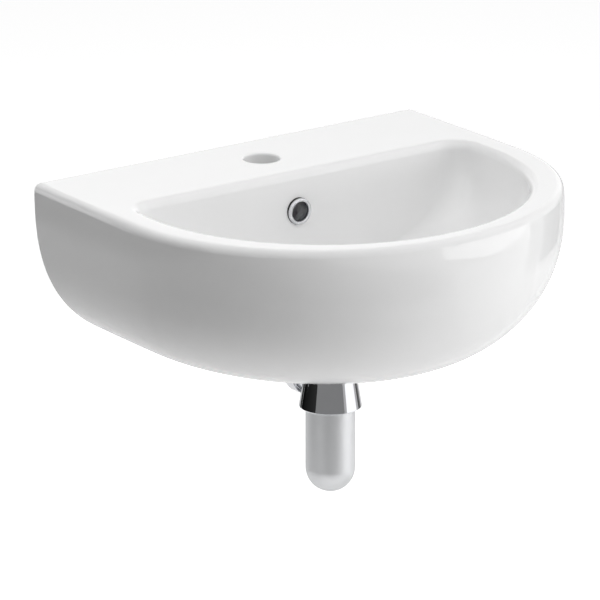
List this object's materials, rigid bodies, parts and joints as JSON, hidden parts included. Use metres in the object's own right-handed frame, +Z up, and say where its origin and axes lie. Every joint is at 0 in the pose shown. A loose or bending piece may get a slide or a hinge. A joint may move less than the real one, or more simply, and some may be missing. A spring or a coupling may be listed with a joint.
{
  "type": "cloakroom basin",
  "caption": "Small wall-hung ceramic basin with a half-round front, a tap ledge with a centre tap hole, an overflow, a click plug waste and a chrome bottle trap.",
  "frame": {"origin": "midway between the two wall fixing holes, on the wall face of the ceramic", "axes": "+X along the wall, +Y into the wall so the front of the basin looks along -Y, +Z up"},
  "size_m": [0.4546, 0.3866, 0.3055],
  "materials": {
    "white_glaze": "glossy white sanitary glaze",
    "bright_chrome": "mirror bright chrome plate",
    "satin_chrome": "satin chrome plate",
    "black_rubber": "moulded black rubber",
    "white_plastic": "moulded white plastic",
    "bare_brass": "turned brass",
    "spring_steel": "drawn stainless wire"
  },
  "bodies": {
    "basin": {"basin_body": "white_glaze", "basin_bowl": "white_glaze", "overflow_ring": "bright_chrome", "waste_body": "bright_chrome", "waste_top_washer": "black_rubber", "waste_bottom_washer": "black_rubber", "waste_backnut": "white_plastic", "click_cartridge": "white_plastic", "cartridge_cap": "white_plastic", "plug_spring": "spring_steel", "trap_inlet_nut": "bright_chrome", "trap_inlet_washer": "black_rubber", "trap_dip_tube": "bright_chrome", "trap_head": "bright_chrome", "outlet_seal": "black_rubber", "outlet_slip_ring": "white_plastic", "outlet_nut": "bright_chrome"},
    "plug": {"plug_cap": "bright_chrome", "plug_seal": "black_rubber", "plug_spindle": "bare_brass"},
    "cup_seal": {"cup_seal": "black_rubber"},
    "cup": {"trap_cup": "satin_chrome"}
  },
  "joints": [
    {"name": "plug_press", "type": "slide", "parent": "basin", "child": "plug", "axis": [0, 0, 1], "range_m": [0, 0.009], "deforming": ["plug_spring"]},
    {"name": "cup_drop", "type": "slide", "parent": "basin", "child": "cup_seal", "axis": [0, 0, -1], "range_m": [0, 0.012]},
    {"name": "cup_turn", "type": "hinge", "parent": "cup_seal", "child": "cup", "pos_m": [0, -0.169, -0.18], "axis": [0, 0, -1], "range_deg": [0, 1440]}
  ],
  "couplings": [
    {"joint": "cup_drop", "follows": "cup_turn", "m_per_rad": 0.00047746}
  ]
}
